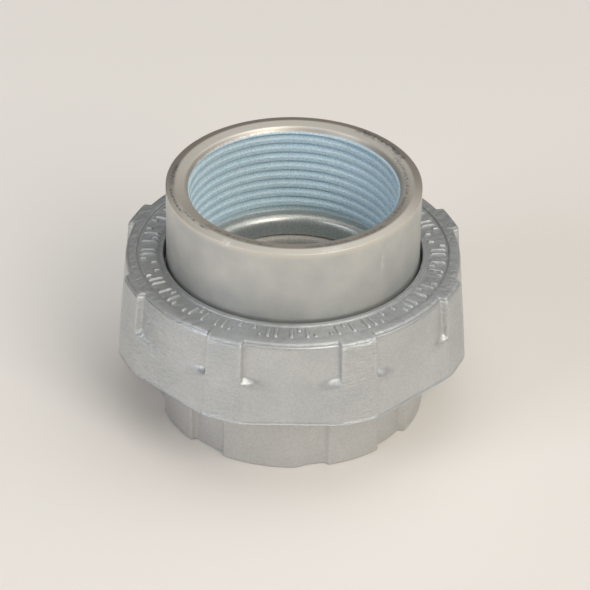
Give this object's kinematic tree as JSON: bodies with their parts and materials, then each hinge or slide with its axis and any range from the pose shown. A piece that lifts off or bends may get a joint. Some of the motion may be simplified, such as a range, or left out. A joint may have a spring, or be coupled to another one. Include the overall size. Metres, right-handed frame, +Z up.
{
  "type": "rigid conduit union",
  "caption": "Threaded conduit union: female hubs meet at a coned seat and a ribbed ring nut draws them together. Conduit screws into a tapered socket at each end.",
  "frame": {"origin": "centre of the lower hub's end face, on the common axis", "axes": "+Z up along the common axis from the lower hub to the upper hub; -Y is the side the picture faces, with the middle of a nut flat on it"},
  "size_m": [0.0738, 0.0738, 0.0537],
  "materials": {
    "cast_hub": "silver-grey zinc finish over a sand-cast skin",
    "cast_nut": "silver-grey zinc finish over a sand-cast skin, brightest along the rounded edges",
    "turned_hub": "warm grey zinc finish over a smooth turned surface, with scuffs at the rim"
  },
  "bodies": {
    "lower_hub": {"lower_hub": "cast_hub"},
    "upper_hub": {"upper_hub": "turned_hub"},
    "union_nut": {"union_nut": "cast_nut"}
  },
  "joints": [
    {"name": "hub_lift", "type": "slide", "parent": "lower_hub", "child": "upper_hub", "axis": [0, 0, 1], "range_m": [0, 0.01105]},
    {"name": "nut_turn", "type": "hinge", "parent": "upper_hub", "child": "union_nut", "pos_m": [0, 0, 0.027], "axis": [0, 0, 1], "range_deg": [0, 1872]}
  ],
  "couplings": [
    {"joint": "hub_lift", "follows": "nut_turn", "m_per_rad": 0.00033688}
  ]
}
